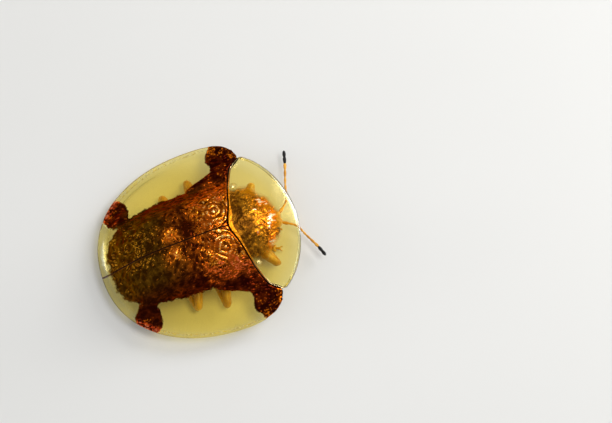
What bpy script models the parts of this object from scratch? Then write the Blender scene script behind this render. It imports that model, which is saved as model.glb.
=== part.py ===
"""A tortoise beetle at life size, standing on its six feet under its round shell.

+X points forwards, to the head, +Y to the animal's left and +Z up. The origin is on the floor, under the
middle of the box that holds the animal with its feelers. Inside the script a point is given in the beetle's
own frame, whose origin is on the floor under the middle of the shell, and every node is moved at the end.
"""

import math

import bmesh
import bpy
from mathutils import Matrix, Vector

MM = 0.001

# Driving dimensions
SHELL_LENGTH = 13.0 * MM
SHELL_WIDTH = 12.0 * MM
SHELL_THICKNESS = 0.5 * MM
RIM_HEIGHT = 1.0 * MM
FRONT_RIM_LIFT = 0.8 * MM
GAP = 0.3 * MM
SMALL_GAP = 0.2 * MM
BOX_MIDDLE_X = 0.475 * MM

# Outline of the wing cases, a superellipse round the widest line of the shell
WIDEST_X = 1.3 * MM
REAR_REACH = SHELL_LENGTH / 2 + WIDEST_X
FRONT_REACH = 4.75 * MM
HALF_WIDTH = SHELL_WIDTH / 2
OUTLINE_POWER = 2.2
SHOULDER_X = 4.05 * MM
NOTCH_HALF_WIDTH = 0.8 * MM
NOTCH_REAR_X = 0.75 * MM

# Height of the wing cases over their rim
MARGIN_RISE = 2.35 * MM
DISC_RISE = 1.0 * MM
HUMP_RISE = 0.3 * MM
HUMP_X = 1.0 * MM
HUMP_SPREAD = 0.8 * MM
DISC_REAR_REACH = 6.6 * MM
DISC_HALF_WIDTH = 3.2 * MM
DISC_POWER = 3.0
ARM_RISE = 0.12 * MM

# Neck shield
SHIELD_X = 2.9 * MM
SHIELD_REACH = SHELL_LENGTH / 2 - SHIELD_X
SHIELD_HALF_WIDTH = 4.95 * MM
SHIELD_POWER = 1.9
SHIELD_BASE_X = 2.1 * MM
SHIELD_CORNER_Y = 4.45 * MM
SHIELD_MARGIN_RISE = 2.2 * MM
SHIELD_DISC_RISE = 1.1 * MM
SHIELD_DISC_X = 2.4 * MM
SHIELD_DISC_REACH = 3.15 * MM
SHIELD_DISC_HALF_WIDTH = 3.0 * MM

# Trunk under the shell
TRUNK_X = -0.45 * MM
TRUNK_REACH = 4.55 * MM
TRUNK_HALF_WIDTH = 2.6 * MM
TRUNK_WAIST_Z = 1.6 * MM
TRUNK_END_DROP = 0.35 * MM
BELLY_Z = 1.0 * MM
PROTHORAX_CUT_X = 2.3 * MM
ABDOMEN_CUT_X = -1.2 * MM
STERNITE_PITCH = 0.78 * MM
STERNITE_STEP = 0.1 * MM

# Head
HEAD_CENTRE = Vector((4.75, 0, 1.22)) * MM
HEAD_HALF = Vector((0.75, 0.78, 0.52)) * MM
EYE_CENTRE = Vector((4.85, 0.84, 1.3)) * MM
EYE_HALF = Vector((0.32, 0.26, 0.36)) * MM

# Colours and finishes read off the animal
AMBER = (0.62, 0.30, 0.05)
FINISHES = {
    "wing_case": ((0.55, 0.16, 0.03), 0.25, 0.8),
    "neck_shield": ((0.62, 0.36, 0.06), 0.2, 0.5),
    "plate": (AMBER, 0.4, 0.0),
    "limb": (AMBER, 0.35, 0.0),
    "eye": ((0.02, 0.01, 0.01), 0.15, 0.0),
}


def smoothstep(low, high, value):
    share = min(max((value - low) / (high - low), 0), 1)
    return share * share * (3 - 2 * share)


def superellipse(x, y, reach, half_width, power):
    """How far out a point lies: 0 in the middle and 1 on the outline."""
    return (abs(x / reach) ** power + abs(y / half_width) ** power) ** (1 / power)


def rim_lift(x):
    """The rim climbs from the widest line to the front, where the feelers come out."""
    return FRONT_RIM_LIFT * smoothstep(1 * MM, 5 * MM, x)


def shoulder_arm(x, y):
    """1 on the dark arm that runs from the disc to the shoulder, over the clear margin."""
    width = abs(y) / MM
    neck = 0.2 + 1.95 * smoothstep(3.2, 4.2, width)
    rear_edge = neck - 0.15 * smoothstep(4.3, 4.9, width) + 0.55 * smoothstep(5.0, 6.0, width)
    return smoothstep(rear_edge - 0.15, rear_edge + 0.15, x / MM) * smoothstep(3.0, 3.4, width)


def rear_arm(x, y):
    """1 on the dark arm that runs from the rear corner of the disc to the rim."""
    from_root = Vector((x / MM + 4.45, (abs(y) / MM - 3.5) * 0.85)).length
    return 1 - smoothstep(0.7, 1.0, from_root)


def wing_case_top(x, y):
    """Height of the wing cases' outer face over the floor."""
    reach = REAR_REACH if x < WIDEST_X else FRONT_REACH
    out = min(superellipse(x - WIDEST_X, y, reach, HALF_WIDTH, OUTLINE_POWER), 1)
    disc = min(superellipse(min(x - WIDEST_X, 0), y, DISC_REAR_REACH, DISC_HALF_WIDTH, DISC_POWER), 1)
    from_hump = ((x - HUMP_X) ** 2 + y * y) / (2 * HUMP_SPREAD**2)
    rearward = min(x - WIDEST_X, 0) ** 2 / ((x - WIDEST_X) ** 2 + y * y + MM**2)
    rise = MARGIN_RISE * (1 - out ** (2 + 2 * rearward)) ** 1.3 + DISC_RISE * (1 - disc**2.5)
    arms = ARM_RISE * max(shoulder_arm(x, y), rear_arm(x, y)) * smoothstep(0.9, 1.0, disc)
    return RIM_HEIGHT + rim_lift(x) * out**2 + rise + HUMP_RISE * math.exp(-from_hump) + arms


def shield_top(x, y):
    """Height of the neck shield's outer face over the floor."""
    ahead = max(x - SHIELD_X, 0)
    out = min(superellipse(ahead, y, SHIELD_REACH, SHIELD_HALF_WIDTH, SHIELD_POWER), 1)
    disc = superellipse(x - SHIELD_DISC_X, y, SHIELD_DISC_REACH, SHIELD_DISC_HALF_WIDTH, 2.2)
    rise = SHIELD_MARGIN_RISE * (1 - out**2) ** 1.2
    dome = SHIELD_DISC_RISE * (1 - min(disc, 1) ** 2) ** 1.4
    return RIM_HEIGHT + rim_lift(x) * out**2 + rise + dome


def shell_top(x, y):
    """The lower of the two shells where they meet, and whichever is there elsewhere."""
    if x < 2.0 * MM:
        return wing_case_top(x, y)
    if x > 3.2 * MM:
        return shield_top(x, y)
    return min(wing_case_top(x, y), shield_top(x, y))


def under_shell(x, y, clearance):
    """Height that keeps the clearance, measured square to the shell, below its inner face."""
    step = 0.05 * MM
    slope_x = (shell_top(x + step, y) - shell_top(x - step, y)) / (2 * step)
    slope_y = (shell_top(x, y + step) - shell_top(x, y - step)) / (2 * step)
    stretch = math.sqrt(1 + slope_x**2 + slope_y**2)
    return shell_top(x, y) - (SHELL_THICKNESS + clearance) * stretch


def shield_base(y):
    """X of the seam between the neck shield and the wing cases, bowed twice like a brace."""
    width = abs(y) / MM
    lobe = 0.35 * (1 - math.exp(-((width / 0.9) ** 2)))
    corner = 0.4 * smoothstep(3.9, 4.5, width) - 0.4 * smoothstep(4.5, 5.05, width)
    return SHIELD_BASE_X + (lobe + 0.05 * width**2.1 + corner) * MM


def seam_edge(y, side):
    """X of the edge on one side of the seam, half the gap away from it, measured square to it."""
    step = 0.05 * MM
    slope = (shield_base(y + step) - shield_base(y - step)) / (2 * step)
    return shield_base(y) + side * GAP / 2 * math.sqrt(1 + slope**2)


def clear_scene():
    for old in list(bpy.data.objects):
        bpy.data.objects.remove(old)


def material(finish):
    """The named finish as a material, made once."""
    known = bpy.data.materials.get(finish)
    if known:
        return known
    colour, roughness, metallic = FINISHES[finish]
    made = bpy.data.materials.new(finish)
    made.use_nodes = True
    shader = made.node_tree.nodes["Principled BSDF"]
    shader.inputs["Base Color"].default_value = (*colour, 1)
    shader.inputs["Roughness"].default_value = roughness
    shader.inputs["Metallic"].default_value = metallic
    return made


def add_object(name, mesh, finish=None):
    """Links an object, smooth-shaded where it has a finish."""
    made = bpy.data.objects.new(name, mesh)
    bpy.context.scene.collection.objects.link(made)
    if finish:
        mesh.shade_smooth()
        mesh.set_sharp_from_angle(angle=math.radians(40))
        mesh.materials.append(material(finish))
    return made


def mesh_from(bm, name):
    """Closes the bmesh into a mesh whose faces point out."""
    bmesh.ops.recalc_face_normals(bm, faces=bm.faces)
    mesh = bpy.data.meshes.new(name)
    bm.to_mesh(mesh)
    bm.free()
    return mesh


def largest_body(mesh):
    """Keeps the largest closed surface of the mesh, without the scraps that a union can leave."""
    bm = bmesh.new()
    bm.from_mesh(mesh)
    loose, bodies = set(bm.faces), []
    while loose:
        front = [loose.pop()]
        body = set(front)
        while front:
            near = {f for e in front.pop().edges for f in e.link_faces} & loose
            loose -= near
            body |= near
            front.extend(near)
        bodies.append(body)
    bodies.sort(key=lambda body: sum(face.calc_area() for face in body))
    scraps = [face for body in bodies[:-1] for face in body]
    bmesh.ops.delete(bm, geom=scraps, context="FACES")
    bm.to_mesh(mesh)
    bm.free()
    return mesh


def combined(name, meshes, finish, cutters=()):
    """One closed body: the union of the meshes, less the cutters, as an object."""
    base = add_object(name, meshes[0], finish)
    for operation, solver, others in (("UNION", "EXACT", meshes[1:]), ("DIFFERENCE", "MANIFOLD", cutters)):
        if not others:
            continue
        group = bpy.data.collections.new("pieces")
        for mesh in others:
            group.objects.link(bpy.data.objects.new("piece", mesh))
        boolean = base.modifiers.new(operation, "BOOLEAN")
        boolean.operation = operation
        boolean.solver = solver
        boolean.operand_type = "COLLECTION"
        boolean.collection = group
        bpy.context.view_layer.update()
        evaluated = base.evaluated_get(bpy.context.evaluated_depsgraph_get())
        result = bpy.data.meshes.new_from_object(evaluated)
        base.modifiers.remove(boolean)
        base.data = largest_body(result)
        for piece in list(group.objects):
            bpy.data.objects.remove(piece)
        bpy.data.collections.remove(group)
    return base


def cut_flat(bm, at, away):
    """Cuts off all that lies beyond the point in the given direction, and closes the cut."""
    found = bmesh.ops.bisect_plane(
        bm,
        geom=bm.verts[:] + bm.edges[:] + bm.faces[:],
        dist=1e-7,
        plane_co=at,
        plane_no=away,
        clear_outer=True,
    )
    edges = [item for item in found["geom_cut"] if isinstance(item, bmesh.types.BMEdge)]
    bmesh.ops.holes_fill(bm, edges=edges, sides=0)
    bmesh.ops.recalc_face_normals(bm, faces=bm.faces)


def ellipsoid(centre, half, segments=12, rings=8, turn=None):
    """A closed ball with three half-axes, its poles along its own X, turned and then placed."""
    bm = bmesh.new()
    bmesh.ops.create_uvsphere(bm, u_segments=segments, v_segments=rings, radius=1)
    place = Matrix.Translation(centre) @ (turn or Matrix.Identity(4)) @ Matrix.Diagonal((*half, 1))
    bmesh.ops.transform(bm, matrix=place @ Matrix.Rotation(math.pi / 2, 4, "Y"), verts=bm.verts)
    return mesh_from(bm, "ellipsoid")


def spindle(start, end, half_thickness, overrun=1.0, segments=10, rings=8):
    """A ball stretched from start to end, past both by the overrun of its own half-length."""
    along = end - start
    turn = along.to_track_quat("X", "Z").to_matrix().to_4x4()
    half = Vector((along.length / 2 * overrun, half_thickness, half_thickness))
    return ellipsoid((start + end) / 2, half, segments, rings, turn)


def tapered_rod(start, end, start_radius, end_radius, segments=10):
    """A closed cone's trunk between two points."""
    along = end - start
    bm = bmesh.new()
    bmesh.ops.create_cone(
        bm,
        cap_ends=True,
        segments=segments,
        radius1=start_radius,
        radius2=end_radius,
        depth=along.length,
    )
    turn = along.to_track_quat("Z", "Y").to_matrix().to_4x4()
    bmesh.ops.transform(bm, matrix=Matrix.Translation((start + end) / 2) @ turn, verts=bm.verts)
    return mesh_from(bm, "rod")


def curved_shell(name, columns, rows, place, finish):
    """A sheet of columns by rows, placed point by point, split alike and thickened inwards."""
    bm = bmesh.new()
    bmesh.ops.create_grid(bm, x_segments=columns, y_segments=rows, size=1)
    for vert in bm.verts:
        vert.co = place((vert.co.x + 1) / 2, (vert.co.y + 1) / 2)
    bmesh.ops.triangulate(bm, faces=bm.faces, quad_method="FIXED")
    bmesh.ops.recalc_face_normals(bm, faces=bm.faces)
    if sum(face.normal.z for face in bm.faces) < 0:
        bmesh.ops.reverse_faces(bm, faces=bm.faces)
    mesh = bpy.data.meshes.new(name)
    bm.to_mesh(mesh)
    bm.free()
    shell = add_object(name, mesh, finish)
    wall = shell.modifiers.new("Wall", "SOLIDIFY")
    wall.thickness = SHELL_THICKNESS
    wall.offset = -1
    wall.use_even_offset = True
    return shell


def wing_case(side):
    """One wing case: a fan of straight lines from the notch of the scutellum to the outline.

    The sheet reaches the midline and is cut off flat beside it, where the two wing cases meet.
    """
    notch_rear = Vector((NOTCH_REAR_X, 0))
    notch_front = Vector((seam_edge(NOTCH_HALF_WIDTH, -1), NOTCH_HALF_WIDTH))
    shoulder = math.acos(((SHOULDER_X - WIDEST_X) / FRONT_REACH) ** (OUTLINE_POWER / 2))

    def outline(share):
        angle = math.pi - share * (math.pi - shoulder)
        reach = REAR_REACH if angle > math.pi / 2 else FRONT_REACH
        forward = math.copysign(abs(math.cos(angle)) ** (2 / OUTLINE_POWER), math.cos(angle))
        sideways = math.sin(angle) ** (2 / OUTLINE_POWER)
        corner_cut = 1 - 0.035 * max((share - 0.9) / 0.1, 0) ** 2
        x = WIDEST_X + reach * forward * corner_cut
        return Vector((x, HALF_WIDTH * sideways * corner_cut))

    def flat_point(out, share):
        return notch_rear.lerp(notch_front, share).lerp(outline(share), out)

    def place(out, row):
        share = row**1.3
        point = flat_point(out, share)
        at_base = flat_point(out, 1)
        x = point.x + share**3 * (seam_edge(at_base.y, -1) - at_base.x)
        return Vector((x, side * point.y, wing_case_top(x, point.y)))

    name = "elytron_left" if side > 0 else "elytron_right"
    shell = curved_shell(name, 14, 22, place, "wing_case")
    bpy.context.view_layer.update()
    walled = bpy.data.meshes.new_from_object(shell.evaluated_get(bpy.context.evaluated_depsgraph_get()))
    bm = bmesh.new()
    bm.from_mesh(walled)
    cut_flat(bm, (0, side * GAP / 2, 0), (0, -side, 0))
    bm.to_mesh(walled)
    bm.free()
    shell.modifiers.clear()
    shell.data = walled


def neck_shield():
    """The pronotum: a sheet between its base, which follows the seam, and its round front edge."""

    def place(across, ahead):
        turn = math.pi * (across - 0.5)
        base_y = SHIELD_CORNER_Y * math.sin(turn)
        base = Vector((seam_edge(base_y, 1), base_y))
        corner = math.asin((SHIELD_CORNER_Y / SHIELD_HALF_WIDTH) ** (SHIELD_POWER / 2))
        angle = corner * (2 * across - 1)
        sideways = math.copysign(abs(math.sin(angle)) ** (2 / SHIELD_POWER), angle)
        forward = math.cos(angle) ** (2 / SHIELD_POWER)
        front = Vector((SHIELD_X + SHIELD_REACH * forward, SHIELD_HALF_WIDTH * sideways))
        point = base.lerp(front, ahead)
        return Vector((point.x, point.y, shield_top(point.x, point.y)))

    return curved_shell("pronotum", 24, 10, place, "neck_shield")


def scutellum():
    """The small three-cornered plate between the bases of the wing cases."""
    corners = [Vector((1.93, -0.36)), Vector((1.93, 0.36)), Vector((1.35, 0))]
    bm = bmesh.new()
    verts = [bm.verts.new((c.x * MM, c.y * MM, 0)) for c in corners]
    face = bm.faces.new(verts)
    made = bmesh.ops.extrude_face_region(bm, geom=[face])
    lower = [item for item in made["geom"] if isinstance(item, bmesh.types.BMVert)]
    for vert in verts:
        vert.co.z = wing_case_top(vert.co.x, vert.co.y)
    for vert in lower:
        vert.co.z = wing_case_top(vert.co.x, vert.co.y) - SHELL_THICKNESS
    bmesh.ops.bevel(
        bm,
        geom=bm.edges[:],
        offset=0.05 * MM,
        segments=1,
        profile=0.5,
        affect="EDGES",
        material=-1,
    )
    add_object("scutellum", mesh_from(bm, "scutellum"), "wing_case")


def trunk_point(unit):
    """A point of the whole trunk for a point of the unit ball: its back fills the shell."""
    x = TRUNK_X + TRUNK_REACH * unit.x
    y = TRUNK_HALF_WIDTH * unit.y
    waist = TRUNK_WAIST_Z - TRUNK_END_DROP * unit.x**4
    if unit.z >= 0:
        fill = math.sqrt(1 - (1 - unit.z**2) ** 2)
        return Vector((x, y, waist + fill * max(under_shell(x, y, GAP) - waist, 0.02 * MM)))
    behind = max(ABDOMEN_CUT_X - x, 0)
    plate = STERNITE_STEP * ((behind / STERNITE_PITCH) % 1) if behind > 0 else 0
    return Vector((x, y, waist + unit.z * (waist - BELLY_Z - plate)))


def belly_height(x, y):
    """Height of the trunk's underside."""
    along, across = (x - TRUNK_X) / TRUNK_REACH, y / TRUNK_HALF_WIDTH
    down = math.sqrt(max(1 - along**2 - across**2, 0))
    waist = TRUNK_WAIST_Z - TRUNK_END_DROP * along**4
    return waist - down * (waist - BELLY_Z)


def trunk_length(name, rear_x, front_x):
    """One length of the trunk, cut flat at either end where it meets the next."""
    bm = bmesh.new()
    bmesh.ops.create_uvsphere(bm, u_segments=20, v_segments=32, radius=1)
    bmesh.ops.rotate(bm, matrix=Matrix.Rotation(math.pi / 2, 3, "Y"), verts=bm.verts)
    for vert in bm.verts:
        vert.co = trunk_point(vert.co)
    for cut_x, side in ((rear_x, -1), (front_x, 1)):
        if abs(cut_x) < SHELL_LENGTH:
            cut_flat(bm, (cut_x, 0, 0), (side, 0, 0))
    add_object(name, mesh_from(bm, name), "plate")


def trunk():
    beyond = 2 * SHELL_LENGTH
    trunk_length("abdomen", -beyond, ABDOMEN_CUT_X - GAP / 2)
    trunk_length("thorax", ABDOMEN_CUT_X + GAP / 2, PROTHORAX_CUT_X - GAP / 2)
    trunk_length("prothorax", PROTHORAX_CUT_X + GAP / 2, HEAD_CENTRE.x - HEAD_HALF.x - GAP)


def mirrored(point, side):
    return Vector((point.x, side * point.y, point.z))


def head():
    """The head, hollowed on both sides where the eyes sit, with a raised face plate."""
    skull = ellipsoid(HEAD_CENTRE, HEAD_HALF, 20, 14)
    face_plate = ellipsoid(HEAD_CENTRE + Vector((0.42, 0, -0.1)) * MM, Vector((0.4, 0.36, 0.4)) * MM, 12, 8)
    socket_half = EYE_HALF + Vector((1, 1, 1)) * SMALL_GAP
    sockets = [ellipsoid(mirrored(EYE_CENTRE, side), socket_half, 14, 10) for side in (1, -1)]
    combined("head", [skull, face_plate], "plate", sockets)
    for side, name in ((1, "eye_left"), (-1, "eye_right")):
        add_object(name, ellipsoid(mirrored(EYE_CENTRE, side), EYE_HALF, 14, 10), "eye")


def mouthparts():
    """Upper lip, two jaws and two palps, fused under the front of the head."""
    lip = ellipsoid(Vector((5.3, 0, 0.42)) * MM, Vector((0.34, 0.4, 0.14)) * MM, 12, 8)
    pieces = [lip]
    for side in (1, -1):
        jaw = Vector((5.36, side * 0.22, 0.4)) * MM
        pieces.append(spindle(jaw, Vector((5.52, side * 0.1, 0.2)) * MM, 0.13 * MM, 1.3, 8, 6))
        palp = Vector((5.2, side * 0.3, 0.4)) * MM
        pieces.append(spindle(palp, Vector((5.38, side * 0.66, 0.24)) * MM, 0.12 * MM, 1.3, 8, 6))
    combined("mouthparts", pieces, "limb")


def feeler(name, route):
    """One antenna: a bevelled curve of eleven beads through its route, thin where beads join."""
    bead_count, points_a_bead = 11, 3
    bead_waists = (0.82, 1.0, 1.0)
    last = bead_count * points_a_bead
    curve = bpy.data.curves.new(name, "CURVE")
    curve.dimensions = "3D"
    curve.bevel_depth = 0.25 * MM
    curve.bevel_resolution = 1
    curve.use_fill_caps = True
    spline = curve.splines.new("POLY")
    spline.points.add(last)
    for index, point in enumerate(spline.points):
        share = index / last
        place = route_point(route, share)
        tip = 1 - 0.45 * smoothstep(0.93, 1.0, share)
        point.co = (*place, 1)
        point.radius = bead_waists[index % points_a_bead] * tip
    curve.materials.append(material("limb"))
    made = bpy.data.objects.new(name, curve)
    bpy.context.scene.collection.objects.link(made)


def route_point(route, share):
    """A point of the smooth Catmull-Rom curve through the route's own points."""
    spans = len(route) - 1
    span = min(int(share * spans), spans - 1)
    t = share * spans - span
    before, start = route[max(span - 1, 0)], route[span]
    end, after = route[span + 1], route[min(span + 2, spans)]
    bend = 2 * before - 5 * start + 4 * end - after
    twist = -1 * before + 3 * start - 3 * end + after
    return 0.5 * (2 * start + (end - before) * t + bend * t**2 + twist * t**3)


def feelers():
    left = [(5.84, 0.4, 0.98), (6.18, 1.0, 0.86), (6.42, 1.95, 0.76), (6.84, 3.25, 0.78), (7.03, 4.05, 0.85)]
    right = [(5.84, -0.4, 0.98), (6.26, -0.8, 0.86), (6.62, -1.45, 0.76), (7.1, -2.4, 0.78), (7.35, -3.1, 0.85)]
    feeler("antenna_left", [Vector(point) * MM for point in left])
    feeler("antenna_right", [Vector(point) * MM for point in right])


# Each leg's hip, knee, ankle and claw end on the left, seen from above, and the knee's height
LEGS = {
    "front": ((3.1, 0.9), (4.45, 2.8), (3.9, 1.35), (4.85, 1.7), 0.88),
    "middle": ((1.1, 1.15), (0.45, 4.35), (0.1, 1.75), (-0.35, 2.65), 0.78),
    "hind": ((-0.65, 1.2), (-1.35, 3.9), (-1.85, 1.65), (-2.5, 2.5), 0.78),
}
HIP_RADIUS = 0.25 * MM
HIP_HALF_LENGTH = 0.42 * MM
THIGH_RADIUS = 0.28 * MM
SHIN_RADIUS = 0.25 * MM
ANKLE_Z = 0.28 * MM
TOE_HALF_HEIGHT = 0.24 * MM
TOE_HALF_WIDTHS = (0.25 * MM, 0.27 * MM, 0.36 * MM, 0.25 * MM)


def leg(name, side, hip, knee, ankle, claw, knee_z):
    """Hip, thigh, shin, four toe segments and two claws, fused, with a flat sole on the floor."""
    hip_x, hip_y = hip[0] * MM, hip[1] * MM
    hip_z = belly_height(hip_x, hip_y) - GAP - HIP_RADIUS
    hip_at = Vector((hip_x, side * hip_y, hip_z))
    knee_at = Vector((knee[0] * MM, side * knee[1] * MM, knee_z * MM))
    ankle_at = Vector((ankle[0] * MM, side * ankle[1] * MM, ANKLE_Z))
    claw_at = Vector((claw[0] * MM, side * claw[1] * MM, ANKLE_Z))
    pieces = [
        ellipsoid(hip_at, Vector((HIP_RADIUS, HIP_HALF_LENGTH, HIP_RADIUS)), 10, 6),
        spindle(hip_at, knee_at, THIGH_RADIUS, 1.06, 10, 8),
        tapered_rod(knee_at, ankle_at, SHIN_RADIUS * 0.9, SHIN_RADIUS, 8),
    ]
    along = claw_at - ankle_at
    toe_z = TOE_HALF_HEIGHT - 0.05 * MM
    turn = along.to_track_quat("X", "Z").to_matrix().to_4x4()
    for index, half_width in enumerate(TOE_HALF_WIDTHS):
        middle = ankle_at + along * (0.08 + 0.25 * index)
        half = Vector((along.length * 0.17, half_width, TOE_HALF_HEIGHT))
        pieces.append(ellipsoid(Vector((middle.x, middle.y, toe_z)), half, 8, 6, turn))
    across = along.normalized().cross(Vector((0, 0, 1)))
    for spread in (1, -1):
        root = ankle_at + along * 0.85 + across * spread * 0.08 * MM
        tip = ankle_at + along * 1.12 + across * spread * 0.2 * MM
        root.z, tip.z = toe_z, 0.1 * MM
        pieces.append(tapered_rod(root, tip, 0.12 * MM, 0.04 * MM, 6))
    made = combined(name, pieces, "limb")
    bm = bmesh.new()
    bm.from_mesh(made.data)
    cut_flat(bm, (0, 0, 0), (0, 0, -1))
    bm.to_mesh(made.data)
    bm.free()


def legs():
    for pair, places in LEGS.items():
        leg(f"leg_{pair}_left", 1, *places)
        leg(f"leg_{pair}_right", -1, *places)


def main():
    clear_scene()
    wing_case(1)
    wing_case(-1)
    neck_shield()
    scutellum()
    trunk()
    head()
    mouthparts()
    feelers()
    legs()
    for node in bpy.context.scene.objects:
        node.location.x = -BOX_MIDDLE_X


main()
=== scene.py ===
"""A tortoise beetle at life size, standing on a pale floor under its round shell.

The beetle's sizes are in millimetres, in its own frame: +X to the head, +Y to its left and +Z up, with the
origin on the floor under the shell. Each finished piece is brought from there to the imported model.
"""

import math

import bmesh
import bpy
from mathutils import Matrix, Vector, noise


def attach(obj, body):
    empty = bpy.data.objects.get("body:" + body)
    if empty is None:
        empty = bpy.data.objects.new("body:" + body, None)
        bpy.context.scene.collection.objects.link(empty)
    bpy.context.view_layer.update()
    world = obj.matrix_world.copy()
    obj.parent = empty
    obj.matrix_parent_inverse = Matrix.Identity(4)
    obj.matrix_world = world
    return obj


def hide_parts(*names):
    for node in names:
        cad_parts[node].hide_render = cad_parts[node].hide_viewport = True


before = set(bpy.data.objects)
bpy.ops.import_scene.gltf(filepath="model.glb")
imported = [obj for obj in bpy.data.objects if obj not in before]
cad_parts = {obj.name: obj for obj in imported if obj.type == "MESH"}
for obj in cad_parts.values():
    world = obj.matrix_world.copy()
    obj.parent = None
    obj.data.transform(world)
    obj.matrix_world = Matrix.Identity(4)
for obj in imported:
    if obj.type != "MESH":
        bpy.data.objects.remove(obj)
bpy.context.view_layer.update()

# Camera: it looks almost straight down on the shell, tipped a little so that the beetle's left side is up in
# the picture. The beetle stands left of the middle with its head to the right.
MM, MM_A_METRE = 0.001, 1000
BOX_MIDDLE_X = 0.475
SHELL_MIDDLE = Vector((-BOX_MIDDLE_X, 0, 1.1)) * MM
AZIMUTH, ELEVATION = math.radians(-19), math.radians(79)
DISTANCE = 108.1 * MM
LENS_MM, SENSOR_MM = 100, 36
MIDDLE_TO_RIGHT, MIDDLE_UP = 6.77 * MM, 2.15 * MM
NEAREST_SEEN, FARTHEST_SEEN = 1 * MM, 10

right = Vector((math.cos(AZIMUTH), math.sin(AZIMUTH), 0))
level_ahead = Vector((-right.y, right.x, 0))
look = level_ahead * math.cos(ELEVATION) - Vector((0, 0, math.sin(ELEVATION)))
picture_up = right.cross(look)
target = SHELL_MIDDLE + right * MIDDLE_TO_RIGHT + picture_up * MIDDLE_UP
camera_data = bpy.data.cameras.new("camera")
camera_data.lens = LENS_MM
camera_data.sensor_width = SENSOR_MM
camera_data.clip_start, camera_data.clip_end = NEAREST_SEEN, FARTHEST_SEEN
camera = bpy.data.objects.new("camera", camera_data)
camera.matrix_world = Matrix.Translation(target - look * DISTANCE) @ Matrix(
    (right, picture_up, -look)
).transposed().to_4x4()
bpy.context.scene.collection.objects.link(camera)
bpy.context.scene.camera = camera

# Wing cases: two hard curved covers, hinged on the thorax, that meet in a straight seam along the back. A
# crinkled metallic disc with four dark arms lies on them. Outside it they are as clear as amber glass, and
# the rim is a little thicker.
RIM_HEIGHT, RIM_BEAD = 1.0, 0.07
FRONT_RIM_LIFT, LIFT_STARTS_X, LIFT_ENDS_X = 0.8, 1, 5
WIDEST_X, REAR_REACH, FRONT_REACH = 1.3, 7.8, 4.75
HALF_WIDTH, OUTLINE_POWER = 6.0, 2.2
SHOULDER_X = 4.05
MARGIN_RISE, DISC_RISE = 2.35, 1.0
HUMP_RISE, HUMP_X, HUMP_SPREAD = 0.3, 1.0, 0.8
DISC_REAR_REACH, DISC_HALF_WIDTH, DISC_POWER = 6.6, 3.2, 3.0
METAL_REAR_REACH, METAL_POWER = 7.2, 3.2
ARM_RISE, ARM_ROOT_X, ARM_ROOT_Y, ARM_SWEEP = 0.12, 0.2, 3.0, 1.95
PATCH_X, PATCH_Y, PATCH_RADIUS, PATCH_NECK_RADIUS = -4.45, 3.5, 0.86, 0.55
SEAM_HALF_GAP = 0.006
WING_CASE_WALL = 0.16
RING_X, RING_Y, RING_RADIUS, RING_PITCH = 1.5, 1.18, 0.66, 0.3
NET_CELLS_A_MM, FINE_CELLS_A_MM, SWELLS_A_MM = 3.0, 6.5, 1.2
NET_HEIGHT, FINE_HEIGHT, RING_HEIGHT, SWELL_HEIGHT = 0.05, 0.015, 0.07, 0.11
HIGHLIGHT_SPOT_X, HIGHLIGHT_SPOT_Y = -1.55, 0.6
SHOULDER_HIGHLIGHT_X, SHOULDER_HIGHLIGHT_Y = 1.75, 2.35
SADDLE_X, SADDLE_HALF_WIDTH = -0.25, 1.3
SHIELD_SEAM_X, SEAM_LOBE, SEAM_LOBE_HALF_WIDTH = 2.1, 0.35, 0.9
SEAM_BOW, SEAM_BOW_POWER, SEAM_CORNER = 0.05, 2.1, 0.4
NOTCH_REAR_X, NOTCH_FRONT_Y = 1.40, 0.42
SHOULDER_BASE_SHARE, SHOULDER_BASE_Y, CORNER_CUT = 0.965, 4.92, 0.035
WING_CASE_COLUMNS, WING_CASE_ROWS = 165, 235
LIP_HEIGHT, LIP_FROM_BASE, LIP_WIDTH, SEAM_SHADE = 0.04, 0.12, 0.09, 0.05
STRIAE_ROUND_WING_CASE = 19


def smoothstep(low, high, value):
    share = min(max((value - low) / (high - low), 0), 1)
    return share * share * (3 - 2 * share)


def superellipse(x, y, reach, half_width, power):
    """How far out a point lies: 0 in the middle and 1 on the outline."""
    return (abs(x / reach) ** power + abs(y / half_width) ** power) ** (1 / power)


def rim_lift(x):
    return FRONT_RIM_LIFT * smoothstep(LIFT_STARTS_X, LIFT_ENDS_X, x)


def shoulder_arm(x, y):
    """Millimetres inside the arm that runs from the disc to the shoulder; negative outside it."""
    width = abs(y)
    neck = ARM_ROOT_X + ARM_SWEEP * smoothstep(3.2, 4.2, width)
    bulge = 0.15 * smoothstep(4.3, 4.9, width) - 0.55 * smoothstep(5.0, 6.0, width)
    return min(x - neck + bulge, width - ARM_ROOT_Y)


def rear_arm(x, y):
    """Millimetres inside the rounded patch between the rear corner of the disc and the rim, or its neck."""
    dx, dy = x - PATCH_X, abs(y) - PATCH_Y
    patch = PATCH_RADIUS - math.hypot(dx, dy * 0.85)
    along = min(max((dx * 0.4 - dy * 0.9 + 0.1) / 1.2, 0), 1)
    neck = PATCH_NECK_RADIUS - math.hypot(dx - 0.48 * along, dy + 1.08 * along)
    return max(patch, neck)


def disc_inside(x, y):
    """Millimetres inside the disc or its arms."""
    disc = superellipse(min(x - WIDEST_X, 0), y, METAL_REAR_REACH, DISC_HALF_WIDTH, METAL_POWER)
    return max((1 - disc) * DISC_HALF_WIDTH, shoulder_arm(x, y), rear_arm(x, y))


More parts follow.
